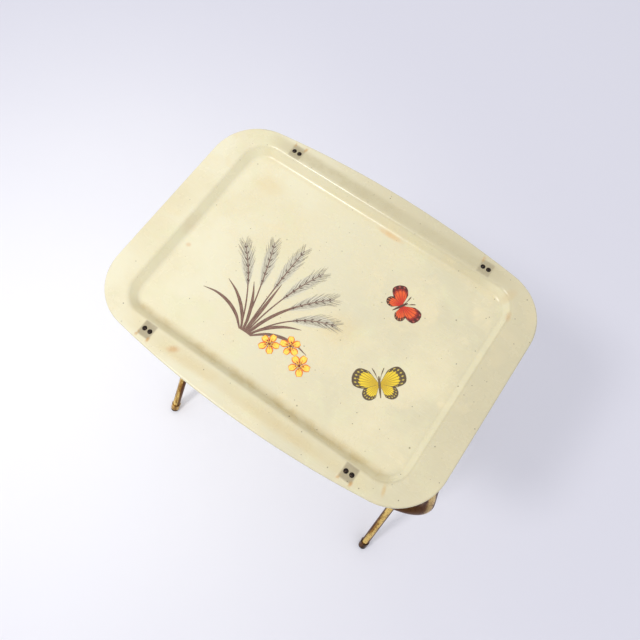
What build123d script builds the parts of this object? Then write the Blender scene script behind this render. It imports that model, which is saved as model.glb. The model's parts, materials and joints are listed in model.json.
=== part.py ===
from build123d import *
import math
import os

os.makedirs("parts", exist_ok=True)

# Folding tray table: a moulded fibreglass tray that clips onto a crossed pair of bent-tube frames.
# Millimetres, +Z up. The origin is on the floor under the middle of the stand, X runs along the
# tray's long side, and -Y is the user's side. The outer frame has its top bar at the front.

# ---- driving dimensions: tray ----
tray_length = 547.5
tray_width = 407.0
rim_height = 660.0
tray_shift = -8.2            # the tray can be clipped on anywhere along the bars
tray_wall = 2.6
side_bow_radius = 1470.0     # the long sides are shallow arcs, the ends are straight
corner_radius = 78.0
lip_depth = 5.0              # the edge is turned down, which stiffens the rim
pan_length = 462.0
pan_width = 327.0
pan_corner = 38.0
pan_depth = 13.5
wall_lean = 41.6             # degrees between the pan's wall and the vertical
rim_roll = 7.0
floor_roll = 9.0
lip_roll = 2.5

# ---- driving dimensions: stand ----
tube_radius = 7.94
tube_wall = 1.0
bar_setback = 175.0          # top bars lie this far either side of the middle
bar_drop = 13.6              # from the rim's top face down to a bar's axis
foot_spread = 206.0          # where a leg's axis would meet the floor
splay = 1.0                  # degrees by which each leg spreads outwards towards its foot
frame_clearance = 1.2        # side gap between the nested legs
outer_half_span = 275.5      # half spans are measured at the pivots
outer_bend = 84.0

# ---- driving dimensions: clips, rivets, pivots and feet ----
clip_setout = 166.0
clip_width = 19.0
clip_metal = 1.0
jaw_radius = 8.8             # to the middle of the clip's metal
cheek_lean = 8.0             # degrees by which the clip's sides open upwards
throat_turn = 40.0           # degrees below level where the strip leaves the jaw
throat_run = 1.3
lip_spread = 9.4
lip_drop = 11.0
clip_lip_bend = 1.2
clip_base_bend = 1.5
tray_rivet_pitch = 9.0
tray_rivet_radius = 1.75
tray_rivet_head = 3.5
tray_rivet_crown = 2.0
tray_rivet_tail = 2.9
tail_height = 1.3
rivet_hole_slack = 0.05
pivot_rivet_radius = 2.5
pivot_hole_slack = 0.08
pivot_head_radius = 5.0
pivot_head_height = 2.4
pivot_tail_radius = 4.2
pivot_tail_height = 2.0
saddle_radius = 6.6
saddle_crown = 0.8
saddle_skirt = 2.0
saddle_fit = 0.08
saddle_edge = 0.4
spacer_radius = 6.5
spacer_play = 0.15
ferrule_radius = 9.3
ferrule_length = 16.0
ferrule_start = 7.0          # distances along the leg, measured from the floor
ferrule_bead = 0.4
tube_start = 9.5
glide_start = 2.0
glide_radius = 8.7
glide_edge = 1.2
glide_stem = 10.0
slip_fit = 0.05

# ---- worked-out values ----
bar_height = rim_height - bar_drop
flange_under = rim_height - tray_wall
lean = math.degrees(math.atan2(foot_spread + bar_setback, bar_height))
leg_run = bar_height / math.cos(math.radians(lean))
pivot_height = bar_height * foot_spread / (foot_spread + bar_setback)
pivot_run = pivot_height / math.cos(math.radians(lean))
spread = math.tan(math.radians(splay))
inner_half_span = outer_half_span - 2 * tube_radius - frame_clearance
inner_bend = outer_bend - (outer_half_span - inner_half_span)
sides = {"left": -1, "right": 1}
rows = {"front": -1, "rear": 1}


def frame_up(row):
    """Direction up a frame whose feet stand in the given row: it leans across to the other row's bar."""
    tilt = math.radians(lean)
    return Vector(0, -row * math.sin(tilt), math.cos(tilt))


def leg_up(side, row):
    """Direction up one leg, which also closes in a little towards the middle."""
    return (frame_up(row) - Vector(side * spread, 0, 0)).normalized()


def finish(piece, name):
    piece.part.label = name
    export_step(piece.part, f"parts/{name}.step")


# ---- tray shell: one moulding with a sunk pan, a flat rim and a turned-down lip ----
def rim_outline(inset=0.0):
    """Two shallow arcs crossed like a lens, cut to length and rounded at the four corners."""
    with BuildSketch(mode=Mode.PRIVATE) as outline:
        with Locations((0, tray_width / 2 - side_bow_radius)):
            Circle(side_bow_radius - inset)
        with Locations((0, side_bow_radius - tray_width / 2)):
            Circle(side_bow_radius - inset, mode=Mode.INTERSECT)
        Rectangle(tray_length - 2 * inset, tray_width, mode=Mode.INTERSECT)
        fillet(outline.vertices(), corner_radius - inset)
    return outline.sketch


wall_offset = tray_wall / math.cos(math.radians(wall_lean))
tray_middle = Plane.XY.offset(rim_height).shift_origin((tray_shift, 0, rim_height))

with BuildPart() as tray_shell:
    with BuildSketch(tray_middle):
        add(rim_outline())
    extrude(amount=-lip_depth)
    fillet(tray_shell.edges().group_by(Axis.Z)[-1], lip_roll)
    with BuildSketch(tray_middle.offset(-lip_depth)):
        add(rim_outline(tray_wall))
    extrude(amount=lip_depth - tray_wall, mode=Mode.SUBTRACT)
    with BuildSketch(tray_middle.offset(-tray_wall)):
        RectangleRounded(
            pan_length + 2 * wall_offset - 2 * tray_wall * math.tan(math.radians(wall_lean)),
            pan_width + 2 * wall_offset - 2 * tray_wall * math.tan(math.radians(wall_lean)),
            pan_corner + wall_offset - tray_wall * math.tan(math.radians(wall_lean)),
        )
    extrude(amount=-pan_depth, taper=wall_lean)
    fillet(tray_shell.edges().group_by(Axis.Z)[0], floor_roll + tray_wall)
    with BuildSketch(tray_middle):
        RectangleRounded(pan_length, pan_width, pan_corner)
    extrude(amount=-pan_depth, taper=wall_lean, mode=Mode.SUBTRACT)
    pan_floor = tray_shell.faces().filter_by(Axis.Z).sort_by_distance(
        (tray_shift, 0, rim_height - pan_depth))[0]
    fillet(pan_floor.edges(), floor_roll)
    rim_face = tray_shell.faces().filter_by(Axis.Z).sort_by(Axis.Z)[-1]
    fillet(rim_face.inner_wires()[0].edges(), rim_roll)
    for row in rows.values():
        for side in sides.values():
            with Locations((tray_shift + side * clip_setout, row * bar_setback, rim_height)):
                with GridLocations(tray_rivet_pitch, 0, 2, 1):
                    Cylinder(tray_rivet_radius + rivet_hole_slack, 4 * tray_wall, mode=Mode.SUBTRACT)
finish(tray_shell, "tray_shell")


# ---- spring clips: a strip bent round the bar, with flared lips, riveted under the rim ----
# The strip's middle line, seen from the end, with the bar's axis at 0, 0. It runs from the flat
# base down a leaning side, round the jaw, in to the throat and out again to the lip.
clip_base = bar_drop - tray_wall - clip_metal / 2
cheek_angle = math.radians(cheek_lean)
throat_angle = math.radians(throat_turn)
cheek_middle = (cheek_angle + throat_angle) / 2
cheek_reach = jaw_radius / math.cos((throat_angle - cheek_angle) / 2)
clip_right = [
    ((jaw_radius + clip_base * math.sin(cheek_angle)) / math.cos(cheek_angle), clip_base),
    (cheek_reach * math.cos(cheek_middle), -cheek_reach * math.sin(cheek_middle)),
    (
        jaw_radius * math.cos(throat_angle) - throat_run * math.sin(throat_angle),
        -jaw_radius * math.sin(throat_angle) - throat_run * math.cos(throat_angle),
    ),
    (lip_spread, -lip_drop),
]
clip_left = [(-x, y) for x, y in reversed(clip_right)]
clip_bends = [clip_lip_bend, jaw_radius, clip_base_bend]


def make_clip(side, row):
    middle = tray_shift + side * clip_setout
    end_plane = Plane(
        origin=(middle - clip_width / 2, row * bar_setback, bar_height),
        x_dir=(0, 1, 0),
        z_dir=(1, 0, 0),
    )
    with BuildPart() as clip:
        with BuildSketch(end_plane):
            with BuildLine():
                FilletPolyline(*clip_left, *clip_right, radius=[*clip_bends, *reversed(clip_bends)])
            trace(line_width=clip_metal)
        extrude(amount=clip_width)
        with Locations((middle, row * bar_setback, bar_height + clip_base)):
            with GridLocations(tray_rivet_pitch, 0, 2, 1):
                Cylinder(tray_rivet_radius + rivet_hole_slack, 4 * clip_metal, mode=Mode.SUBTRACT)
    return clip


# ---- clip rivets: a domed head on the rim, a shank, and a tail set under the clip ----
def make_tray_rivet(x, y):
    grip = -tray_wall - clip_metal
    with BuildPart() as rivet:
        with BuildSketch(Plane(origin=(x, y, rim_height), x_dir=(1, 0, 0), z_dir=(0, -1, 0))):
            with BuildLine():
                crown = TangentArc((0, tray_rivet_crown), (tray_rivet_head, 0), tangent=(1, 0))
                Polyline(
                    crown @ 1,
                    (tray_rivet_radius, 0),
                    (tray_rivet_radius, grip),
                    (tray_rivet_tail, grip),
                    (tray_rivet_tail - tail_height / 2, grip - tail_height),
                    (0, grip - tail_height),
                    (0, tray_rivet_crown),
                )
            make_face()
        revolve(axis=Axis((x, y, 0), (0, 0, 1)))
    return rivet


for row_name, row in rows.items():
    for side_name, side in sides.items():
        finish(make_clip(side, row), f"clip_{row_name}_{side_name}")
        for number, step in enumerate((-0.5, 0.5), start=1):
            rivet_x = tray_shift + side * clip_setout + step * tray_rivet_pitch
            tray_rivet = make_tray_rivet(rivet_x, row * bar_setback)
            finish(tray_rivet, f"clip_rivet_{row_name}_{side_name}_{number}")


# ---- frames: each is one length of steel tube bent into a U, drilled for its two pivots ----
def make_frame(foot_row, half_span, bend, hole_radius):
    frame_plane = Plane(
        origin=(0, -foot_row * bar_setback, bar_height),
        x_dir=(1, 0, 0),
        z_dir=Vector(1, 0, 0).cross(frame_up(foot_row)),
    )
    top_span = half_span - (leg_run - pivot_run) * spread
    end_span = half_span + (pivot_run - tube_start) * spread
    leg_end = tube_start - leg_run
    with BuildPart() as frame:
        with BuildLine(frame_plane) as spine:
            FilletPolyline(
                (-end_span, leg_end), (-top_span, 0), (top_span, 0), (end_span, leg_end), radius=bend
            )
        with BuildSketch(Plane(origin=spine.line @ 0, z_dir=spine.line % 0)):
            Circle(tube_radius)
            Circle(tube_radius - tube_wall, mode=Mode.SUBTRACT)
        sweep()
        with Locations((0, 0, pivot_height)):
            Cylinder(hole_radius, 3 * outer_half_span, rotation=(0, 90, 0), mode=Mode.SUBTRACT)
    return frame


outer_frame = make_frame(1, outer_half_span, outer_bend, pivot_rivet_radius + rivet_hole_slack)
finish(outer_frame, "outer_frame")
inner_frame = make_frame(-1, inner_half_span, inner_bend, pivot_rivet_radius + pivot_hole_slack)
finish(inner_frame, "inner_frame")


# ---- pivots: a rivet through both legs, a spacer between them and a saddle under each head ----
outer_crest = outer_half_span + tube_radius + saddle_crown
inner_crest = inner_half_span - tube_radius - saddle_crown


def make_pivot_rivet(side):
    tail = inner_crest - outer_crest
    with BuildPart() as rivet:
        with BuildSketch(Plane((side * outer_crest, 0, pivot_height), x_dir=(side, 0, 0), z_dir=(0, 1, 0))):
            with BuildLine():
                head = TangentArc((pivot_head_height, 0), (0, pivot_head_radius), tangent=(0, 1))
                Polyline(
                    head @ 1,
                    (0, pivot_rivet_radius),
                    (tail, pivot_rivet_radius),
                    (tail, pivot_tail_radius),
                    (tail - pivot_tail_height / 2, pivot_tail_radius),
                    (tail - pivot_tail_height, pivot_tail_radius / 2),
                    (tail - pivot_tail_height, 0),
                    (pivot_head_height, 0),
                )
            make_face()
        revolve(axis=Axis((0, 0, pivot_height), (1, 0, 0)))
    return rivet


def make_saddle(side, half_span, outward, foot_row):
    """A pressed washer: flat on top, hollowed underneath to sit on the tube."""
    top = half_span + outward * (tube_radius + saddle_crown)
    face = side * outward
    with BuildPart() as saddle:
        with BuildSketch(Plane((side * top, 0, pivot_height), x_dir=(0, 1, 0), z_dir=(face, 0, 0))):
            Circle(saddle_radius)
            Circle(pivot_rivet_radius + pivot_hole_slack, mode=Mode.SUBTRACT)
        extrude(amount=-saddle_crown - saddle_skirt)
        with BuildSketch(Plane((side * half_span, 0, pivot_height), z_dir=leg_up(side, foot_row))):
            Circle(tube_radius + saddle_fit)
        extrude(amount=4 * saddle_radius, both=True, mode=Mode.SUBTRACT)
        top_edges = saddle.edges().group_by(Axis.X)[-1 if face > 0 else 0]
        fillet(top_edges.sort_by(SortBy.LENGTH)[-1], saddle_edge)
    return saddle


def make_spacer(side):
    start = inner_half_span + tube_radius + spacer_play
    with BuildPart() as spacer:
        with BuildSketch(Plane((side * start, 0, pivot_height), x_dir=(0, 1, 0), z_dir=(side, 0, 0))):
            Circle(spacer_radius)
            Circle(pivot_rivet_radius + pivot_hole_slack, mode=Mode.SUBTRACT)
        extrude(amount=frame_clearance - 2 * spacer_play)
    return spacer


for side_name, side in sides.items():
    finish(make_pivot_rivet(side), f"pivot_rivet_{side_name}")
    finish(make_saddle(side, outer_half_span, 1, 1), f"outer_saddle_{side_name}")
    finish(make_saddle(side, inner_half_span, -1, -1), f"inner_saddle_{side_name}")
    finish(make_spacer(side), f"pivot_spacer_{side_name}")


# ---- feet: a brass ferrule sleeved over the tube, with a rubber glide plugged into its end ----
def foot_plane(side, row, half_span, distance):
    """Square to the leg's axis, the given distance up it from where it would meet the floor."""
    up = leg_up(side, row)
    foot = Vector(side * (half_span + pivot_run * spread), row * foot_spread, 0)
    return Plane(foot + up * distance, z_dir=up)


def make_ferrule(side, row, half_span):
    with BuildPart() as ferrule:
        with BuildSketch(foot_plane(side, row, half_span, ferrule_start)):
            Circle(ferrule_radius)
            Circle(tube_radius + slip_fit, mode=Mode.SUBTRACT)
        extrude(amount=ferrule_length)
        bead_start = ferrule_start + ferrule_length - 2 * ferrule_bead
        with BuildSketch(foot_plane(side, row, half_span, bead_start)):
            Circle(ferrule_radius + ferrule_bead)
            Circle(ferrule_radius - ferrule_bead, mode=Mode.SUBTRACT)
        extrude(amount=2 * ferrule_bead)
    return ferrule


def make_glide(side, row, half_span):
    """The sole is trimmed level with the floor."""
    with BuildPart() as glide:
        with BuildSketch(foot_plane(side, row, half_span, glide_start)):
            Circle(glide_radius)
        extrude(amount=ferrule_start - glide_start)
        fillet(glide.edges().group_by(Axis((0, 0, 0), leg_up(side, row)))[0], glide_edge)
        with BuildSketch(foot_plane(side, row, half_span, ferrule_start)):
            Circle(tube_radius - tube_wall)
        extrude(amount=tube_start - ferrule_start)
        with BuildSketch(foot_plane(side, row, half_span, tube_start)):
            Circle(tube_radius - tube_wall - slip_fit)
        extrude(amount=glide_stem)
        split(bisect_by=Plane.XY, keep=Keep.TOP)
    return glide


for row_name, row in rows.items():
    half_span = outer_half_span if row > 0 else inner_half_span
    for side_name, side in sides.items():
        finish(make_ferrule(side, row, half_span), f"ferrule_{row_name}_{side_name}")
        finish(make_glide(side, row, half_span), f"glide_{row_name}_{side_name}")
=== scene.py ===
import json
import math
import random

import bmesh
import bpy
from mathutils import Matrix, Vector


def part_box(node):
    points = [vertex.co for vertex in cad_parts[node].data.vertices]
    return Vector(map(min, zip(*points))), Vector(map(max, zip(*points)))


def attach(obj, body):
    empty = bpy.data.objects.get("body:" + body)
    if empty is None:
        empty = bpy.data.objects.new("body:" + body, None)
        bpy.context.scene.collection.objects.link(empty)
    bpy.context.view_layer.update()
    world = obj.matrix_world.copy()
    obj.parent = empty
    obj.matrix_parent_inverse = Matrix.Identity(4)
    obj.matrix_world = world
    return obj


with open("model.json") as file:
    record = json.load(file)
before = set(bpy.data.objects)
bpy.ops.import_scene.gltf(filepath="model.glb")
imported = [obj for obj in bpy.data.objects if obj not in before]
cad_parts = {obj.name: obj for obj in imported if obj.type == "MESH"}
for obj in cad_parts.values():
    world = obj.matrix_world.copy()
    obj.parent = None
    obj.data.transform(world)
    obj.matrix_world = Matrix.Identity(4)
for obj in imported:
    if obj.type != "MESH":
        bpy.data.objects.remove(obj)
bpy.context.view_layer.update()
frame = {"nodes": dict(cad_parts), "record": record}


# ---------------------------------------------------------------------------------------------
# The room: a smooth white floor lit by one soft light, high up at the tray's front left, with
# pale light from all round. The floor's colour is a painted pool of light, palest at one spot and
# greyer away from it. The camera looks down from over the tray's front right.
# ---------------------------------------------------------------------------------------------
def tint(red, green, blue):
    """A colour given as it looks on a screen, 0 to 255, turned into the shader's linear light."""
    light = []
    for value in (red, green, blue):
        part = value / 255
        light.append(part / 12.92 if part <= 0.04045 else ((part + 0.055) / 1.055) ** 2.4)
    return (*light, 1.0)


def new_material(name):
    material = bpy.data.materials.new(name)
    material.use_nodes = True
    return material, material.node_tree, material.node_tree.nodes["Principled BSDF"]


def add_node(tree, kind, inputs=None, **settings):
    """One shader node: settings are its own choices, inputs are values or other nodes' sockets."""
    node = tree.nodes.new("ShaderNode" + kind)
    for key, value in settings.items():
        setattr(node, key, value)
    for key, value in (inputs or {}).items():
        if isinstance(value, bpy.types.NodeSocket):
            tree.links.new(value, node.inputs[key])
        else:
            node.inputs[key].default_value = value
    return node


def maths(tree, operation, first, second=0.0, third=0.0, clamp=False):
    node = add_node(tree, "Math", {0: first, 1: second, 2: third}, operation=operation, use_clamp=clamp)
    return node.outputs[0]


def fade(tree, value, start, end):
    """0 where value is at start, 1 where it is at end, smooth between; start may be the larger."""
    span = {"Value": value, "From Min": start, "From Max": end}
    node = add_node(tree, "MapRange", span, interpolation_type="SMOOTHSTEP")
    return node.outputs["Result"]


def blend_colour(tree, amount, first, second, mode="MIX"):
    node = add_node(tree, "Mix", {0: amount, 6: first, 7: second}, data_type="RGBA", blend_type=mode)
    return node.outputs[2]


def place(tree, origin=(0, 0, 0)):
    """Where a point is on the object, measured from origin."""
    here = add_node(tree, "TexCoord").outputs["Object"]
    return add_node(tree, "VectorMath", {0: here, 1: Vector(origin)}, operation="SUBTRACT").outputs[0]


def noise(tree, where, scale, detail=2.0, roughness=0.5, distortion=0.0):
    node = add_node(
        tree, "TexNoise",
        {"Vector": where, "Scale": scale, "Detail": detail, "Roughness": roughness, "Distortion": distortion},
    )
    return node.outputs["Fac"]


def new_piece(name, bm, material, body, smooth=False):
    mesh = bpy.data.meshes.new(name)
    bm.to_mesh(mesh)
    bm.free()
    mesh.materials.append(material)
    for face in mesh.polygons:
        face.use_smooth = smooth
    piece = bpy.data.objects.new(name, mesh)
    bpy.context.scene.collection.objects.link(piece)
    if body:
        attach(piece, body)
    return piece


floor_material, floor_tree, floor_shader = new_material("white_floor")
# painted light: the floor is painted palest near one spot and greyer with distance from it, a pool of light
# in the floor's colour
light_pool_wobble = noise(floor_tree, place(floor_tree), 3.0, 3.0)
painted_light_centre = (-0.55, -0.24, 0)
from_painted_light_centre = add_node(floor_tree, "VectorMath", {0: place(floor_tree, painted_light_centre)}, operation="LENGTH")
painted_light_reach = maths(floor_tree, "MULTIPLY_ADD", light_pool_wobble, 0.1, from_painted_light_centre.outputs["Value"])
painted_light_fade = fade(floor_tree, painted_light_reach, 0.0, 1.4)
floor_colour = blend_colour(floor_tree, painted_light_fade, tint(250, 250, 253), tint(220, 220, 230))
floor_tree.links.new(floor_colour, floor_shader.inputs["Base Color"])
floor_shader.inputs["Roughness"].default_value = 0.75
floor_bm = bmesh.new()
bmesh.ops.create_grid(floor_bm, x_segments=1, y_segments=1, size=6.0)
floor = new_piece("floor", floor_bm, floor_material, None)

world = bpy.data.worlds.new("studio")
world.use_nodes = True
sky = world.node_tree.nodes["Background"]
sky_height = add_node(
    world.node_tree, "SeparateXYZ", {0: add_node(world.node_tree, "TexCoord").outputs["Generated"]}
).outputs[2]
sky_light = blend_colour(
    world.node_tree, fade(world.node_tree, sky_height, -0.1, 0.75), tint(150, 151, 156), tint(245, 245, 249)
)
world.node_tree.links.new(sky_light, sky.inputs["Color"])
sky.inputs["Strength"].default_value = 1.04
bpy.context.scene.world = world

key_light = bpy.data.lights.new("window_light", "AREA")
key_light.shape = "RECTANGLE"
key_light.size = 0.5
key_light.size_y = 0.5
key_light.energy = 28.0
key_light.color = (1.0, 0.985, 0.96)
key = bpy.data.objects.new("window_light", key_light)
key.location = (-0.9, -1.2, 3.2)
key.rotation_euler = (Vector((0, 0, 0.5)) - key.location).to_track_quat("-Z", "Y").to_euler()
bpy.context.scene.collection.objects.link(key)

camera_data = bpy.data.cameras.new("camera")
camera_data.sensor_width = 36.0
camera_data.lens = 35.44
camera = bpy.data.objects.new("camera", camera_data)
camera.location = (0.1623, -0.2778, 1.4779)
camera.rotation_euler = [math.radians(turn) for turn in (19.71, -1.29, 34.93)]
bpy.context.scene.collection.objects.link(camera)
bpy.context.scene.camera = camera
bpy.context.scene.view_settings.view_transform = "Standard"


# ---------------------------------------------------------------------------------------------
# The stand: two lengths of five-eighths steel tube bent into U shapes and brass plated. The
# plating is worn, with brown tarnish in spots and dark pits where moisture has got in. Painted
# shade darkens the legs' sides and the bars where they run under the tray.
# ---------------------------------------------------------------------------------------------
bar_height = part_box("outer_frame")[1].z
pivot_height = sum(corner.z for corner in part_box("pivot_rivet_left")) / 2
leg_splay = 0.0203  # how far a leg moves outward for each metre down


def times(tree, first, second):
    return maths(tree, "MULTIPLY", first, second)


def bump(tree, shader, height, distance, strength=1.0):
    node = add_node(tree, "Bump", {"Height": height, "Distance": distance, "Strength": strength})
    tree.links.new(node.outputs["Normal"], shader.inputs["Normal"])


def brass_wear_and_painted_shade(name, bright, dull, spot_and_shade, tarnish=0.5, half_span=None):
    """Brass plate dulled in streaks, spotted and pitted. Legs half_span out at the pivots get painted shade
    down their sides, and the bars get painted shadow of the tray.
    """
    material, tree, shader = new_material(name)
    where = place(tree)
    height = add_node(tree, "SeparateXYZ", {0: where}).outputs[2]
    down_legs = add_node(tree, "VectorMath", {0: where, 1: (1.0, 0.25, 0.2)}, operation="MULTIPLY").outputs[0]
    along_bar = add_node(tree, "VectorMath", {0: where, 1: (0.2, 1.0, 1.0)}, operation="MULTIPLY").outputs[0]
    on_bar = fade(tree, height, bar_height - 0.045, bar_height - 0.02)
    leg_streaks = noise(tree, down_legs, 95.0, 4.0, 0.6)
    bar_streaks = noise(tree, along_bar, 95.0, 4.0, 0.6)
    streaks = add_node(tree, "Mix", {0: on_bar, 2: leg_streaks, 3: bar_streaks}).outputs[0]
    spots = noise(tree, where, 260.0, 4.0, 0.65)
    pits = noise(tree, where, 420.0, 2.0, 0.5)
    dulled = fade(tree, streaks, 0.56 - 0.22 * tarnish, 0.62)
    spots_and_painted_shade = fade(tree, spots, 0.64 - 0.1 * tarnish, 0.66)
    if half_span:
        sideways = maths(tree, "ABSOLUTE", add_node(tree, "SeparateXYZ", {0: where}).outputs[0])
        # painted shadow of the tray on the tops of the bars, blotchy and heavier at the bends, mixed in with
        # the brass's own dark spots
        tray_shadow_blotches = maths(tree, "MULTIPLY_ADD", fade(tree, sideways, 0.17, 0.21), 0.13, streaks)
        near_top = fade(tree, height, bar_height - 0.07, bar_height - 0.03)
        painted_tray_shadow = times(tree, near_top, fade(tree, tray_shadow_blotches, 0.41, 0.52))
        leg_middle = maths(tree, "MULTIPLY_ADD", height, -leg_splay, half_span + leg_splay * pivot_height)
        off_leg = maths(tree, "ABSOLUTE", maths(tree, "SUBTRACT", sideways, leg_middle))
        # painted shade: a dark band down each side of a leg, where the tube turns away from the light
        painted_dark_sides = maths(tree, "MULTIPLY_ADD", streaks, 0.006, maths(tree, "ADD", off_leg, -0.003))
        painted_dark_sides = times(tree, fade(tree, painted_dark_sides, 0.0038, 0.0062), fade(tree, off_leg, 0.011, 0.009))
        spots_and_painted_shade = maths(tree, "MAXIMUM", spots_and_painted_shade, maths(tree, "MAXIMUM", painted_tray_shadow, painted_dark_sides))
    pitting = fade(tree, pits, 0.62, 0.68)
    colour = blend_colour(tree, dulled, tint(*bright), tint(*dull))
    colour = blend_colour(tree, times(tree, spots_and_painted_shade, 0.95), colour, tint(*spot_and_shade))
    colour = blend_colour(tree, pitting, colour, tint(50, 32, 20))
    tree.links.new(colour, shader.inputs["Base Color"])
    grime_and_painted_shade = maths(tree, "MAXIMUM", spots_and_painted_shade, pitting)
    rough = maths(tree, "MULTIPLY_ADD", grime_and_painted_shade, 0.22, 0.12)
    tree.links.new(maths(tree, "MULTIPLY_ADD", streaks, 0.16, rough), shader.inputs["Roughness"])
    tree.links.new(maths(tree, "MULTIPLY_ADD", grime_and_painted_shade, -0.1, 0.97), shader.inputs["Metallic"])
    bump(tree, shader, maths(tree, "SUBTRACT", 1.0, grime_and_painted_shade), 0.0002, 0.5)
    return material


# half_span: half the distance between a frame's legs, middle to middle, at the pivots
for name, half_span in (("outer_frame", 0.2755), ("inner_frame", 0.2584)):
    tube_brass = brass_wear_and_painted_shade(
        f"brass_wear_and_painted_shade_{name}", bright=(236, 202, 118), dull=(160, 116, 50), spot_and_shade=(86, 46, 20),
        tarnish=0.4, half_span=half_span,
    )
    frame["nodes"][name].data.materials[0] = tube_brass


# ---------------------------------------------------------------------------------------------
# The pivots: a steel rivet through each pair of crossing legs, a flat spacer between the tubes
# and a pressed saddle washer under each head. All were plated with the tubes and have dulled.
# ---------------------------------------------------------------------------------------------
pivot_metal = brass_wear_and_painted_shade(
    "dulled_pivot_plating", bright=(196, 180, 140), dull=(140, 118, 78), spot_and_shade=(82, 64, 42), tarnish=0.7
)
for side in ("left", "right"):
    for part in ("pivot_rivet", "pivot_spacer", "outer_saddle", "inner_saddle"):
        frame["nodes"][f"{part}_{side}"].data.materials[0] = pivot_metal


# ---------------------------------------------------------------------------------------------
# The feet: a brass ferrule pressed over each tube's end, darker than the tube, and a black
# rubber glide plugged in below it, greyed with floor dust.
# ---------------------------------------------------------------------------------------------
# the front right ferrule gets a much darker brass than the other three
front_right_brass = brass_wear_and_painted_shade(
    "front_right_ferrule_brass", bright=(104, 70, 42), dull=(62, 40, 26), spot_and_shade=(32, 22, 18), tarnish=0.9
)
ferrule_brass = brass_wear_and_painted_shade(
    "grimy_ferrule_brass", bright=(206, 166, 92), dull=(118, 82, 42), spot_and_shade=(56, 34, 22), tarnish=0.9
)

rubber, rubber_tree, rubber_shader = new_material("dusty_rubber")
rubber_where = place(rubber_tree)
rubber_dust = fade(rubber_tree, noise(rubber_tree, rubber_where, 260.0, 4.0, 0.6), 0.45, 0.75)
rubber_colour = blend_colour(rubber_tree, rubber_dust, tint(22, 18, 16), tint(58, 48, 40))
rubber_tree.links.new(rubber_colour, rubber_shader.inputs["Base Color"])
rubber_rough = maths(rubber_tree, "MULTIPLY_ADD", rubber_dust, 0.25, 0.55)
rubber_tree.links.new(rubber_rough, rubber_shader.inputs["Roughness"])
bump(rubber_tree, rubber_shader, rubber_dust, 0.0003, 0.4)

for row in ("front", "rear"):
    for side in ("left", "right"):
        front_right = (row, side) == ("front", "right")
        finish = front_right_brass if front_right else ferrule_brass
        frame["nodes"][f"ferrule_{row}_{side}"].data.materials[0] = finish
        frame["nodes"][f"glide_{row}_{side}"].data.materials[0] = rubber


# ---------------------------------------------------------------------------------------------
# The clips: spring-steel strip, bent to grip a bar, blued by heat treatment and now browned
# with light rust, worst along the cut edges.
# ---------------------------------------------------------------------------------------------
clip_steel, clip_tree, clip_shader = new_material("rusted_spring_steel")
clip_where = place(clip_tree)
clip_rust = fade(clip_tree, noise(clip_tree, clip_where, 190.0, 5.0, 0.65), 0.46, 0.62)
clip_colour = blend_colour(clip_tree, clip_rust, tint(128, 124, 118), tint(120, 72, 40))
clip_tree.links.new(clip_colour, clip_shader.inputs["Base Color"])
clip_tree.links.new(maths(clip_tree, "MULTIPLY_ADD", clip_rust, -0.8, 0.95), clip_shader.inputs["Metallic"])
clip_tree.links.new(maths(clip_tree, "MULTIPLY_ADD", clip_rust, 0.45, 0.32), clip_shader.inputs["Roughness"])
bump(clip_tree, clip_shader, clip_rust, 0.0003, 0.5)
for row in ("front", "rear"):
    for side in ("left", "right"):
        frame["nodes"][f"clip_{row}_{side}"].data.materials[0] = clip_steel


# ---------------------------------------------------------------------------------------------
# The tray: one moulding of glass fibre in cream polyester, thin enough to let light through.
# Glass strands show faintly in it; years of use have left tan stains and dark specks, and rust
# past the clips' outer corners. The clips underneath are painted in as grey squares of shadow
# seen through the shell, the bars as tan bands, and painted shade and painted light tone the
# tray's ends, rim and walls.
floor_mount = next(m for m in frame["record"]["mounts"] if m["name"] == "tray_floor")
pan_middle = Vector(floor_mount["pos_m"])
clip_low, clip_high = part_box("clip_rear_right")
clip_out = (clip_low.x + clip_high.x) / 2 - pan_middle.x
clip_back = (clip_low.y + clip_high.y) / 2
rim_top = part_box("tray_shell")[1].z

tray_resin, tray_tree, tray_shader = new_material("cream_fibreglass")
tray_where = place(tray_tree, pan_middle)
split = add_node(tray_tree, "SeparateXYZ", {0: tray_where})
along, across, rise = split.outputs[0], split.outputs[1], split.outputs[2]
off_middle_x = maths(tray_tree, "ABSOLUTE", along)
off_middle_y = maths(tray_tree, "ABSOLUTE", across)


def strands(tree, where, turn, scale):
    """Short pale lines lying one way: noise drawn out along its length."""
    turned = {"Vector": where, "Rotation": (0, 0, turn), "Scale": (1, 14, 1)}
    lie = add_node(tree, "Mapping", turned).outputs[0]
    return fade(tree, noise(tree, lie, scale, 1.0), 0.6, 0.72)


fibres = strands(tray_tree, tray_where, 0.4, 40.0)
for turn in (1.3, 2.3, 2.9):
    fibres = maths(tray_tree, "MAXIMUM", fibres, strands(tray_tree, tray_where, turn, 40.0))

# cloudy resin: paler and thicker in places, with a green cast in some and a pink one in others
clouds = noise(tray_tree, tray_where, 9.0, 4.0, 0.55)
casts = noise(tray_tree, tray_where, 21.0, 3.0, 0.6, 0.5)
# painted shade: the tray's colour is painted paler at its left end and darker towards its right, as the light
# falls
tray_colour = blend_colour(tray_tree, fade(tray_tree, along, -0.25, 0.2), tint(234, 228, 198), tint(210, 203, 171))
tray_colour = blend_colour(tray_tree, fade(tray_tree, clouds, 0.35, 0.7), tray_colour, tint(226, 216, 180))
green_cast = times(tray_tree, fade(tray_tree, casts, 0.5, 0.72), 0.4)
tray_colour = blend_colour(tray_tree, green_cast, tray_colour, tint(224, 222, 182))
pink_cast = times(tray_tree, fade(tray_tree, casts, 0.46, 0.26), 0.6)
tray_colour = blend_colour(tray_tree, pink_cast, tray_colour, tint(232, 219, 180))
tray_colour = blend_colour(tray_tree, times(tray_tree, fibres, 0.1), tray_colour, tint(240, 234, 208))


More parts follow.
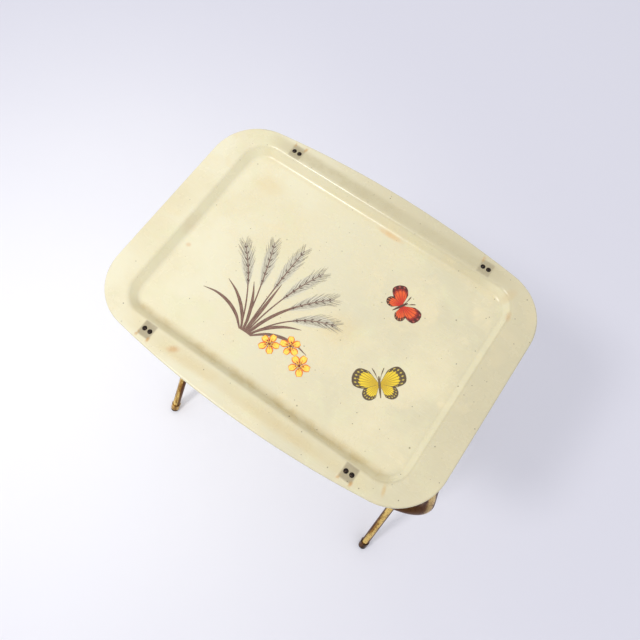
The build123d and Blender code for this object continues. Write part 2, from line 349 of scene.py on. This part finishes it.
def stain_and_shade(colour, amount, mask):
    """Adds one mark to the tray's colour, as strong as amount where mask is 1: a real stain, a painted shade
    or a painted light.
    """
    strength = maths(tray_tree, "MULTIPLY", mask, amount, clamp=True)
    return blend_colour(tray_tree, strength, tray_colour, tint(*colour))


def patch(x, y, half_length, half_width, turn=0.0):
    """1 in the middle of a soft oval patch, x and y from the middle of the pan, falling to 0 at its rim."""
    oval = {"Location": (x, y, 0), "Rotation": (0, 0, turn), "Scale": (half_length, half_width, 1)}
    lie = add_node(tray_tree, "Mapping", {"Vector": tray_where, **oval}, vector_type="TEXTURE").outputs[0]
    flat = add_node(tray_tree, "VectorMath", {0: lie, 1: (1, 1, 0)}, operation="MULTIPLY").outputs[0]
    reach = add_node(tray_tree, "VectorMath", {0: flat}, operation="LENGTH").outputs["Value"]
    return fade(tray_tree, reach, 1.0, 0.2)


ragged = noise(tray_tree, tray_where, 34.0, 5.0, 0.62, 0.3)
ragged_fine = noise(tray_tree, tray_where, 110.0, 4.0, 0.65)
blotch = fade(tray_tree, ragged, 0.42, 0.62)

# the bars' painted shadow seen through the shell, and the foot of the pan's wall: tan bands along both long
# sides
rim_only = fade(tray_tree, rise, rim_top - pan_middle.z - 0.004, rim_top - pan_middle.z - 0.001)
in_front = fade(tray_tree, across, 0.02, -0.02)
behind = fade(tray_tree, across, -0.02, 0.02)
past_inside = fade(tray_tree, off_middle_y, 0.160, 0.171)
short_of_outside = fade(tray_tree, off_middle_y, 0.190, 0.179)
bar_band = times(tray_tree, past_inside, short_of_outside)
bar_band = times(tray_tree, bar_band, fade(tray_tree, off_middle_x, 0.225, 0.175))
# painted shadow of the bars under the rim, darkest behind, mottled
painted_bar_shadow = times(tray_tree, bar_band, maths(tray_tree, "MULTIPLY_ADD", blotch, 0.35, 0.65))
tray_colour = stain_and_shade((214, 198, 152), 0.5, times(tray_tree, painted_bar_shadow, in_front))
tray_colour = stain_and_shade((184, 172, 130), 0.75, times(tray_tree, painted_bar_shadow, behind))
# painted shade: the rim darker towards the tray's far right side
painted_shade_far_rim = fade(tray_tree, maths(tray_tree, "ADD", along, across), -0.1, 0.28)
tray_colour = stain_and_shade((198, 189, 156), 0.6, times(tray_tree, rim_only, painted_shade_far_rim))
below_rim = maths(tray_tree, "SUBTRACT", 1.0, rim_only)
# painted light: the pan's left and right walls painted paler
painted_light_left_wall = times(tray_tree, fade(tray_tree, rise, 0.0015, 0.004), fade(tray_tree, along, -0.17, -0.2))
tray_colour = stain_and_shade((246, 240, 204), 0.35, times(tray_tree, painted_light_left_wall, below_rim))
painted_light_right_wall = times(tray_tree, fade(tray_tree, rise, 0.001, 0.004), fade(tray_tree, along, 0.16, 0.2))
tray_colour = stain_and_shade((244, 238, 206), 0.45, times(tray_tree, painted_light_right_wall, below_rim))
past_wall_foot = fade(tray_tree, off_middle_y, 0.1405, 0.151)
short_of_wall_top = fade(tray_tree, off_middle_y, 0.168, 0.1535)
wall_line = times(tray_tree, past_wall_foot, short_of_wall_top)
wall_line = times(tray_tree, wall_line, fade(tray_tree, off_middle_x, 0.222, 0.2))
# partly real stain and partly painted shade: a tan line along the long walls, darker on the front one, which
# faces away from the light
wall_stain_and_shade = times(tray_tree, wall_line, maths(tray_tree, "MULTIPLY_ADD", blotch, 0.45, 0.55))
tray_colour = stain_and_shade((196, 177, 124), 0.75, times(tray_tree, wall_stain_and_shade, fade(tray_tree, across, 0.02, -0.06)))
tray_colour = stain_and_shade((222, 204, 154), 0.28, times(tray_tree, wall_stain_and_shade, fade(tray_tree, across, -0.02, 0.06)))

# old spills: x, y, half length, half width, turn, colour and strength
for spill in (
    (0.024, 0.1462, 0.028, 0.0062, 0.0, (222, 176, 112), 0.6),
    (0.046, -0.018, 0.045, 0.034, 0.5, (222, 200, 146), 0.4),
    (-0.172, 0.110, 0.036, 0.024, 0.2, (224, 204, 154), 0.5),
    (0.215, 0.158, 0.018, 0.010, 1.2, (208, 178, 122), 0.35),
    (0.229, 0.130, 0.005, 0.012, 0.3, (204, 156, 96), 0.4),
    (0.110, 0.060, 0.060, 0.050, 0.9, (226, 212, 172), 0.35),
    (-0.090, -0.180, 0.070, 0.012, 0.1, (216, 196, 146), 0.4),
    (0.060, -0.180, 0.110, 0.013, 0.0, (208, 188, 138), 0.4),
    (-0.120, -0.176, 0.013, 0.007, 0.6, (202, 150, 84), 0.55),
    (0.214, -0.168, 0.004, 0.012, 0.3, (208, 170, 100), 0.5),
    (-0.224, -0.010, 0.012, 0.030, 0.0, (214, 196, 158), 0.4),
    (-0.208, -0.038, 0.006, 0.005, 0.4, (212, 160, 100), 0.4),
):
    x, y, half_length, half_width, turn, colour, strength = spill
    seep = patch(x, y, half_length, half_width, turn)
    seep = times(tray_tree, seep, maths(tray_tree, "MULTIPLY_ADD", ragged_fine, 1.3, 0.2, clamp=True))
    tray_colour = stain_and_shade(colour, strength, seep)

# painted shadow of the clips' base plates, seen through the rim, with real rust crept out past their outer
# corners
from_clip_x = maths(tray_tree, "ABSOLUTE", maths(tray_tree, "SUBTRACT", off_middle_x, clip_out))
from_clip_y = maths(tray_tree, "SUBTRACT", off_middle_y, clip_back)
plate_x = fade(tray_tree, from_clip_x, 0.0114, 0.0082)
plate_y = fade(tray_tree, maths(tray_tree, "ABSOLUTE", from_clip_y), 0.0124, 0.0092)
plate_shadow = times(tray_tree, times(tray_tree, plate_x, plate_y), rim_only)
plate_shadow = times(tray_tree, plate_shadow, maths(tray_tree, "MULTIPLY_ADD", in_front, 0.35, 0.65))
plate_shadow_mottle = maths(tray_tree, "MULTIPLY_ADD", ragged_fine, 0.5, 0.6)
tray_colour = stain_and_shade((120, 104, 78), 0.66, times(tray_tree, plate_shadow, plate_shadow_mottle))
past_corner_x = maths(tray_tree, "ABSOLUTE", maths(tray_tree, "SUBTRACT", from_clip_x, 0.0092))
past_corner_y = maths(tray_tree, "ABSOLUTE", maths(tray_tree, "SUBTRACT", from_clip_y, 0.0108))
rust_x = fade(tray_tree, past_corner_x, 0.0034, 0.0005)
rust_y = fade(tray_tree, past_corner_y, 0.0062, 0.001)
rust = times(tray_tree, times(tray_tree, rust_x, rust_y), fade(tray_tree, ragged_fine, 0.36, 0.56))
tray_colour = stain_and_shade((200, 150, 76), 0.65, rust)


# dark specks in the moulding, more of them to the right
def specks(scale, share, radius, seed):
    """Round dots of mixed size, one to a cell in some of the cells, cells 1/scale metres across."""
    moved = add_node(tray_tree, "VectorMath", {0: tray_where, 1: (seed, seed, 0)}, operation="ADD").outputs[0]
    level = add_node(tray_tree, "VectorMath", {0: moved, 1: (1, 1, 0)}, operation="MULTIPLY").outputs[0]
    cells = add_node(tray_tree, "TexVoronoi", {"Vector": level, "Scale": scale}, voronoi_dimensions="2D")
    chance = add_node(tray_tree, "SeparateXYZ", {0: cells.outputs["Color"]})
    size = times(tray_tree, maths(tray_tree, "POWER", chance.outputs[1], 1.3), radius * scale)
    dot = fade(tray_tree, cells.outputs["Distance"], size, times(tray_tree, size, 0.3))
    return times(tray_tree, dot, maths(tray_tree, "LESS_THAN", chance.outputs[0], share))


speck_share = maths(tray_tree, "MULTIPLY_ADD", fade(tray_tree, along, -0.15, 0.22), 0.5, 0.5)
tray_colour = stain_and_shade((116, 108, 80), 0.8, times(tray_tree, specks(26.0, 0.42, 0.0018, 3.1), speck_share))
tray_colour = stain_and_shade((92, 82, 62), 0.8, times(tray_tree, specks(60.0, 0.34, 0.0012, 7.7), speck_share))
tray_colour = stain_and_shade((70, 58, 44), 0.85, specks(14.0, 0.3, 0.0014, 11.3))

tray_tree.links.new(tray_colour, tray_shader.inputs["Base Color"])
gloss = maths(tray_tree, "MULTIPLY_ADD", clouds, 0.16, 0.15)
tray_tree.links.new(maths(tray_tree, "MULTIPLY_ADD", blotch, 0.06, gloss), tray_shader.inputs["Roughness"])
tray_shader.inputs["IOR"].default_value = 1.53
tray_shader.inputs["Subsurface Weight"].default_value = 0.12
tray_shader.inputs["Subsurface Radius"].default_value = (0.006, 0.005, 0.003)
tray_shader.inputs["Subsurface Scale"].default_value = 1.0
ripple = maths(tray_tree, "MULTIPLY_ADD", fibres, 0.08, noise(tray_tree, tray_where, 55.0, 4.0, 0.55))
bump(tray_tree, tray_shader, ripple, 0.0006, 0.35)
frame["nodes"]["tray_shell"].data.materials[0] = tray_resin


# ---------------------------------------------------------------------------------------------
# The clip rivets: small steel rivets with domed heads, gone nearly black, two to a clip.
# ---------------------------------------------------------------------------------------------
rivet_steel, rivet_tree, rivet_shader = new_material("blackened_rivet_steel")
rivet_where = place(rivet_tree)
rivet_wear = fade(rivet_tree, noise(rivet_tree, rivet_where, 500.0, 3.0, 0.6), 0.5, 0.7)
rivet_colour = blend_colour(rivet_tree, rivet_wear, tint(38, 32, 30), tint(84, 66, 52))
rivet_tree.links.new(rivet_colour, rivet_shader.inputs["Base Color"])
rivet_rough = maths(rivet_tree, "MULTIPLY_ADD", rivet_wear, 0.25, 0.16)
rivet_tree.links.new(rivet_rough, rivet_shader.inputs["Roughness"])
rivet_shader.inputs["Metallic"].default_value = 0.85
bump(rivet_tree, rivet_shader, rivet_wear, 0.0001, 0.4)
for name, node in frame["nodes"].items():
    if name.startswith("clip_rivet"):
        node.data.materials[0] = rivet_steel


# ---------------------------------------------------------------------------------------------
# The print, grass: a plain tuft of brown stems and long blades in thin ink on the pan's floor.
# It is a generic pattern, fanned out evenly from one root, in millimetres from the pan's middle.
# ---------------------------------------------------------------------------------------------
millimetre = 0.001
ink_film = 0.00005


def on_pan(x, y, layer):
    """A point of the print as a place on the pan: each layer of ink lies one film above the last."""
    return pan_middle + Vector((x * millimetre, y * millimetre, layer * ink_film))


def along_curve(points, u):
    """The point a share u of the way along a smooth curve through all the points (Catmull-Rom)."""
    reach = min(u, 0.99999) * (len(points) - 1)
    first = int(reach)
    t = reach - first
    p1, p2 = Vector(points[first]), Vector(points[first + 1])
    p0 = Vector(points[first - 1]) if first else p1 * 2 - p2
    p3 = Vector(points[first + 2]) if first + 2 < len(points) else p2 * 2 - p1
    square, cube = p0 * 2 - p1 * 5 + p2 * 4 - p3, p1 * 3 - p0 - p2 * 3 + p3
    return (p1 * 2 + (p2 - p0) * t + square * t * t + cube * t**3) / 2


def new_drawing():
    drawing = bmesh.new()
    drawing.loops.layers.uv.new("UVMap")
    return drawing


def own_lift(drawing):
    """A small rise of a stroke's own, as a share of a film: strokes that cross hardly ever share a height."""
    return len(drawing.verts) * 37 % 997 / 1000


def stroke(drawing, points, widths, layer, steps=10, across=1):
    """One brush stroke: a strip along a smooth curve, its width following the widths given along it."""
    layer += own_lift(drawing)
    strip = bmesh.ops.create_grid(drawing, x_segments=steps, y_segments=across, size=0.5, calc_uvs=True)
    for vert in strip["verts"]:
        u = vert.co.x + 0.5
        middle = along_curve(points, u)
        ahead = (along_curve(points, min(u + 0.01, 1)) - along_curve(points, max(u - 0.01, 0))).normalized()
        side = Vector((-ahead.y, ahead.x)) * along_curve([(width, 0) for width in widths], u).x * vert.co.y
        vert.co = on_pan(middle.x + side.x, middle.y + side.y, layer)


def ink_material(name, colours, streak=3.0, edge=None, edge_share=0.7):
    """Printed ink: two shades streaked along the stroke, darker at its edges, under the tray's gloss."""
    material, tree, shader = new_material(name)
    where = place(tree, pan_middle)
    uv = add_node(tree, "SeparateXYZ", {0: add_node(tree, "TexCoord").outputs["UV"]})
    grain = noise(tree, where, 900.0, 3.0, 0.6)
    streaks = add_node(tree, "CombineXYZ", {0: times(tree, uv.outputs[0], 2.0), 1: uv.outputs[1]})
    lines = noise(tree, streaks.outputs[0], streak, 2.0)
    shade = maths(tree, "MULTIPLY_ADD", lines, 0.7, times(tree, grain, 0.4))
    colour = blend_colour(tree, fade(tree, shade, 0.4, 0.7), tint(*colours[0]), tint(*colours[1]))
    if edge:
        off_middle = maths(tree, "ABSOLUTE", maths(tree, "MULTIPLY_ADD", uv.outputs[1], 2.0, -1.0))
        colour = blend_colour(tree, fade(tree, off_middle, edge_share, 1.0), colour, tint(*edge))
    tree.links.new(colour, shader.inputs["Base Color"])
    tree.links.new(maths(tree, "MULTIPLY_ADD", grain, 0.12, 0.26), shader.inputs["Roughness"])
    bump(tree, shader, grain, 0.0001, 0.3)
    return material


def lay_print(name, drawing, material):
    piece = new_piece(name, drawing, material, "tray", smooth=True)
    return piece


def arc(start, heading, length, bow, steps=4):
    """Points along an even bend that leaves start at heading and turns through bow, both in degrees."""
    points = [Vector(start)]
    for step in range(steps):
        turn = math.radians(heading + bow * (step + 0.5) / steps)
        points.append(points[-1] + Vector((math.cos(turn), math.sin(turn))) * length / steps)
    return points


cane_ink = ink_material("cane_ink", ((104, 72, 58), (150, 118, 100)), 4.0, (84, 58, 44))
tuft_root = Vector((-60.0, -98.0))
stems = []
canes = new_drawing()
for n in range(6):
    stem = arc(tuft_root + Vector((3.0 * n - 7.5, 0)), 112 - 9 * n, 150 - 8 * abs(n - 2), 24 - 15 * n)
    stroke(canes, stem, [2.4, 2.0, 1.7, 1.4, 0.8], 3, steps=32, across=2)
    stems.append(stem)
for n in range(7):
    blade = arc(tuft_root + Vector((3.0 * n - 9.0, 0)), 132 - 14 * n, 88 - 6 * (n % 3), 66 - 22 * n)
    stroke(canes, blade, [2.0, 4.2, 4.6, 3.0, 0.5], 3, steps=32, across=2)
lay_print("print_canes", canes, cane_ink)


# ---------------------------------------------------------------------------------------------
# The print, plumes: each stem ends in a feathery head of fine grey hairs, paired up both sides of
# the stem, with a dark seed at the foot of some hairs and a pale grey wash behind them.
# ---------------------------------------------------------------------------------------------
rng = random.Random(31)
hair_ink = ink_material("hair_ink", ((134, 126, 108), (170, 161, 139)), 2.0)
seed_ink = ink_material("seed_ink", ((76, 58, 48), (104, 84, 72)), 3.0)
wash_ink = ink_material("wash_ink", ((209, 204, 181), (221, 215, 190)), 40.0)
hairs, seeds, washes = new_drawing(), new_drawing(), new_drawing()
for stem in stems:
    head = [along_curve(stem, share) for share in (0.5, 0.8, 1)]
    stroke(washes, head, [3.0, 17.0, 15.0, 2.0], 1, 12, 3)
    for pair in range(26):
        up_stem = 0.5 + 0.49 * pair / 25
        start = along_curve(stem, up_stem)
        ahead = along_curve(stem, min(up_stem + 0.02, 1)) - along_curve(stem, up_stem - 0.02)
        heading = math.degrees(math.atan2(ahead.y, ahead.x))
        for side in (-1, 1):
            length = (9 + 17 * math.sin(math.pi * pair / 27)) * rng.uniform(0.85, 1.1)
            hair = arc(start, heading + side * rng.uniform(24, 34), length, side * -12, 2)
            stroke(hairs, hair, [0.5, 0.5, 0.25], 2, steps=6)
            if pair % 4 == 2:
                seed = [along_curve(hair, share) for share in (0.08, 0.2, 0.34)]
                stroke(seeds, seed, [0.4, 1.5, 0.3], 3, 6)
lay_print("print_plume_washes", washes, wash_ink)
lay_print("print_plume_hairs", hairs, hair_ink)
lay_print("print_plume_seeds", seeds, seed_ink)


# ---------------------------------------------------------------------------------------------
# The print, flowers: a row of three plain yellow flowers of five broad petals, edged and veined
# in orange, with dark red stamens raying out from the middle.
# ---------------------------------------------------------------------------------------------
petal_ink, petal_tree, petal_shader = new_material("petal_ink")
petal_uv = add_node(petal_tree, "SeparateXYZ", {0: add_node(petal_tree, "TexCoord").outputs["UV"]})
petal_grain = noise(petal_tree, place(petal_tree, pan_middle), 500.0, 3.0, 0.6)
petal_outward, petal_round = petal_uv.outputs[0], petal_uv.outputs[1]
petal_across = maths(petal_tree, "ABSOLUTE", maths(petal_tree, "MULTIPLY_ADD", petal_round, 2.0, -1.0))
petal_mottle = fade(petal_tree, petal_grain, 0.35, 0.65)
petal_colour = blend_colour(petal_tree, petal_mottle, tint(250, 208, 62), tint(255, 226, 104))
rays = maths(petal_tree, "SINE", times(petal_tree, petal_round, 26.0))
rays = times(petal_tree, fade(petal_tree, rays, 0.2, 0.9), fade(petal_tree, petal_outward, 0.75, 0.2))
petal_colour = blend_colour(petal_tree, times(petal_tree, rays, 0.85), petal_colour, tint(228, 104, 34))
petal_side = fade(petal_tree, petal_across, 0.72, 0.95)
petal_end = fade(petal_tree, petal_outward, 0.93, 0.99)
petal_edge = times(petal_tree, maths(petal_tree, "MAXIMUM", petal_side, petal_end), 0.8)
petal_colour = blend_colour(petal_tree, petal_edge, petal_colour, tint(240, 136, 44))
petal_tree.links.new(petal_colour, petal_shader.inputs["Base Color"])
petal_rough = maths(petal_tree, "MULTIPLY_ADD", petal_grain, 0.12, 0.26)
petal_tree.links.new(petal_rough, petal_shader.inputs["Roughness"])
bump(petal_tree, petal_shader, petal_grain, 0.0001, 0.3)
stamen_ink = ink_material("stamen_ink", ((96, 26, 24), (150, 40, 28)), 3.0)
outline_ink = ink_material("petal_outline_ink", ((226, 96, 30), (240, 140, 44)), 3.0)

flower_reach = 15.0
flower_layer = 4
petals, outlines, stamens = new_drawing(), new_drawing(), new_drawing()
for x, y, turn in ((-22.0, -92.0, 0.3), (4.0, -78.0, 0.9), (30.0, -94.0, 1.5)):
    heart = Vector((x, y))
    for petal in range(5):
        angle = turn + petal * math.tau / 5 + rng.uniform(-0.08, 0.08)
        out = Vector((math.cos(angle), math.sin(angle))) * flower_reach * rng.uniform(0.9, 1.06)
        spine = [heart + out * 0.06, heart + out * 0.5, heart + out]
        shape = [share * flower_reach * rng.uniform(0.85, 1.1) for share in (0.07, 0.3, 0.56, 0.66, 0.34)]
        stroke(petals, spine, shape, flower_layer, 12, 4)
        for edge in (-1, 1):
            aside = Vector((-out.y, out.x)) * edge
            rim = [heart + out * far + aside * wide for far, wide in ((0.22, 0.1), (0.6, 0.3), (1, 0.2))]
            stroke(outlines, rim, [0.6, 1.6, 1.1, 0.5], flower_layer + 1, 10)
        stroke(outlines, [heart + out * 0.3, heart + out * 0.6], [1.3, 0.4], flower_layer + 1, 6)
    for stamen in range(11):
        angle = turn + stamen * math.tau / 11 + rng.uniform(-0.15, 0.15)
        out = Vector((math.cos(angle), math.sin(angle))) * flower_reach * rng.uniform(0.26, 0.46)
        stamen_points = [heart, heart + out * 0.7, heart + out]
        stroke(stamens, stamen_points, [0.8, 0.5, 0.5, 1.7, 0.6], flower_layer + 2, 8)
lay_print("print_petals", petals, petal_ink)
lay_print("print_petal_outlines", outlines, outline_ink)
lay_print("print_stamens", stamens, stamen_ink)


# ---------------------------------------------------------------------------------------------
# The print, orange butterfly: seen from above with its wings spread, orange-red between dark
# veins, with a brown margin and a row of pale dots in it.
# ---------------------------------------------------------------------------------------------
def wing(drawing, root, first_angle, last_angle, reaches, layer, rings=8):
    """A fan about the root: u runs out from 0 to 1 at the margin, v across from one edge to the other."""
    steps = 5 * (len(reaches) - 1)
    layer += own_lift(drawing)
    fan = bmesh.ops.create_grid(drawing, x_segments=rings, y_segments=steps, size=0.5, calc_uvs=True)
    for vert in fan["verts"]:
        u, v = vert.co.x + 0.5, vert.co.y + 0.5
        angle = math.radians(first_angle + (last_angle - first_angle) * v)
        reach = along_curve([(length, 0) for length in reaches], v).x * (0.04 + 0.96 * u)
        vert.co = on_pan(root[0] + reach * math.cos(angle), root[1] + reach * math.sin(angle), layer)


def wing_material(name, inner, outer, margin, dot, vein, cells, margin_start, tip=None):
    """Wing ink: colour from root to margin, one dark vein between neighbouring cells, a dot to a cell."""
    material, tree, shader = new_material(name)
    uv = add_node(tree, "SeparateXYZ", {0: add_node(tree, "TexCoord").outputs["UV"]})
    out, side = uv.outputs[0], uv.outputs[1]
    grain = noise(tree, place(tree, pan_middle), 600.0, 3.0, 0.6)
    uneven = maths(tree, "MULTIPLY_ADD", grain, 0.3, maths(tree, "ADD", out, -0.15))
    colour = blend_colour(tree, fade(tree, uneven, 0.1, 0.75), tint(*inner), tint(*outer))
    if tip:
        near_tip = fade(tree, uneven, margin_start - 0.2, margin_start - 0.05)
        colour = blend_colour(tree, near_tip, colour, tint(*tip))
    in_cell = maths(tree, "FRACT", times(tree, side, cells))
    cell = maths(tree, "ABSOLUTE", maths(tree, "ADD", in_cell, -0.5))
    veins = fade(tree, cell, 0.36, 0.46)
    colour = blend_colour(tree, times(tree, veins, 0.8), colour, tint(*vein))
    rim = fade(tree, maths(tree, "MULTIPLY_ADD", cell, 0.12, uneven), margin_start, margin_start + 0.04)
    off_edge = maths(tree, "ABSOLUTE", maths(tree, "MULTIPLY_ADD", side, 2.0, -1.0))
    border = maths(tree, "MAXIMUM", rim, fade(tree, off_edge, 0.9, 0.97))
    colour = blend_colour(tree, border, colour, tint(*margin))
    off_dots = maths(tree, "ADD", out, -(margin_start + 1.0) / 2)
    dot_out = times(tree, maths(tree, "ABSOLUTE", off_dots), 7.0)
    dots = fade(tree, maths(tree, "ADD", dot_out, times(tree, cell, 1.6)), 0.5, 0.3)
    colour = blend_colour(tree, times(tree, dots, 0.9), colour, tint(*dot))
    tree.links.new(colour, shader.inputs["Base Color"])
    tree.links.new(maths(tree, "MULTIPLY_ADD", grain, 0.12, 0.26), shader.inputs["Roughness"])
    bump(tree, shader, grain, 0.0001, 0.3)
    return material


orange_ink = wing_material(
    "orange_wing_ink", inner=(204, 44, 20), outer=(234, 96, 40), margin=(74, 36, 20),
    dot=(208, 140, 96), vein=(112, 26, 16), cells=6, margin_start=0.8,
)
tip_ink = wing_material(
    "orange_tip_ink", inner=(208, 52, 22), outer=(236, 100, 40), margin=(84, 32, 22),
    dot=(176, 84, 70), vein=(130, 28, 18), cells=5, margin_start=0.84, tip=(140, 26, 22),
)


def butterfly(x, y, heading, hind, fore, body, size):
    """A plain butterfly from above, the same wings mirrored about a body that points along heading."""
    for side in (-1, 1):
        first, last = sorted((heading + side * 98, heading + side * 160))
        wing(hind, (x, y), first, last, [size * reach for reach in (0.6, 0.8, 0.9, 0.9, 0.8, 0.6)], 4)
        first, last = sorted((heading + side * 34, heading + side * 104))
        wing(fore, (x, y), first, last, [size * reach for reach in (0.7, 1.1, 1.2, 1.2, 1.1, 0.7)], 5)
        feeler = arc((x, y), heading + side * 12, size * 0.75, side * 16)
        stroke(body, feeler, [0.6, 0.6, 0.6, 1.5, 0.8], 6, 12)
    stroke(body, arc((x, y), heading, size * 0.35, 0, 2), [3.6, 3.0, 1.2], 6, 8, 2)
    stroke(body, arc((x, y), heading + 180, size * 0.6, 0, 2), [3.6, 2.8, 0.8], 6, 8, 2)


hind_wings, fore_wings, orange_body = new_drawing(), new_drawing(), new_drawing()
butterfly(98, 62, heading=60, hind=hind_wings, fore=fore_wings, body=orange_body, size=26)
lay_print("print_orange_hind_wings", hind_wings, orange_ink)
lay_print("print_orange_fore_wings", fore_wings, tip_ink)
orange_body_ink = ink_material("orange_body_ink", ((58, 40, 30), (112, 70, 50)), 5.0)
lay_print("print_orange_body", orange_body, orange_body_ink)


# ---------------------------------------------------------------------------------------------
# The print, yellow butterfly: the same plain shape a little larger and turned the other way, in
# yellow with brown veins and a brown margin dotted with yellow.
# ---------------------------------------------------------------------------------------------
yellow_ink = wing_material(
    "yellow_wing_ink", inner=(214, 178, 40), outer=(240, 208, 48), margin=(92, 76, 54),
    dot=(214, 192, 84), vein=(112, 88, 30), cells=8, margin_start=0.74,
)
yellow_hind, yellow_fore, yellow_body = new_drawing(), new_drawing(), new_drawing()
butterfly(134, -52, heading=128, hind=yellow_hind, fore=yellow_fore, body=yellow_body, size=32)
lay_print("print_yellow_hind_wings", yellow_hind, yellow_ink)
lay_print("print_yellow_fore_wings", yellow_fore, yellow_ink)
yellow_body_ink = ink_material("yellow_body_ink", ((84, 70, 52), (128, 108, 76)), 5.0)
lay_print("print_yellow_body", yellow_body, yellow_body_ink)
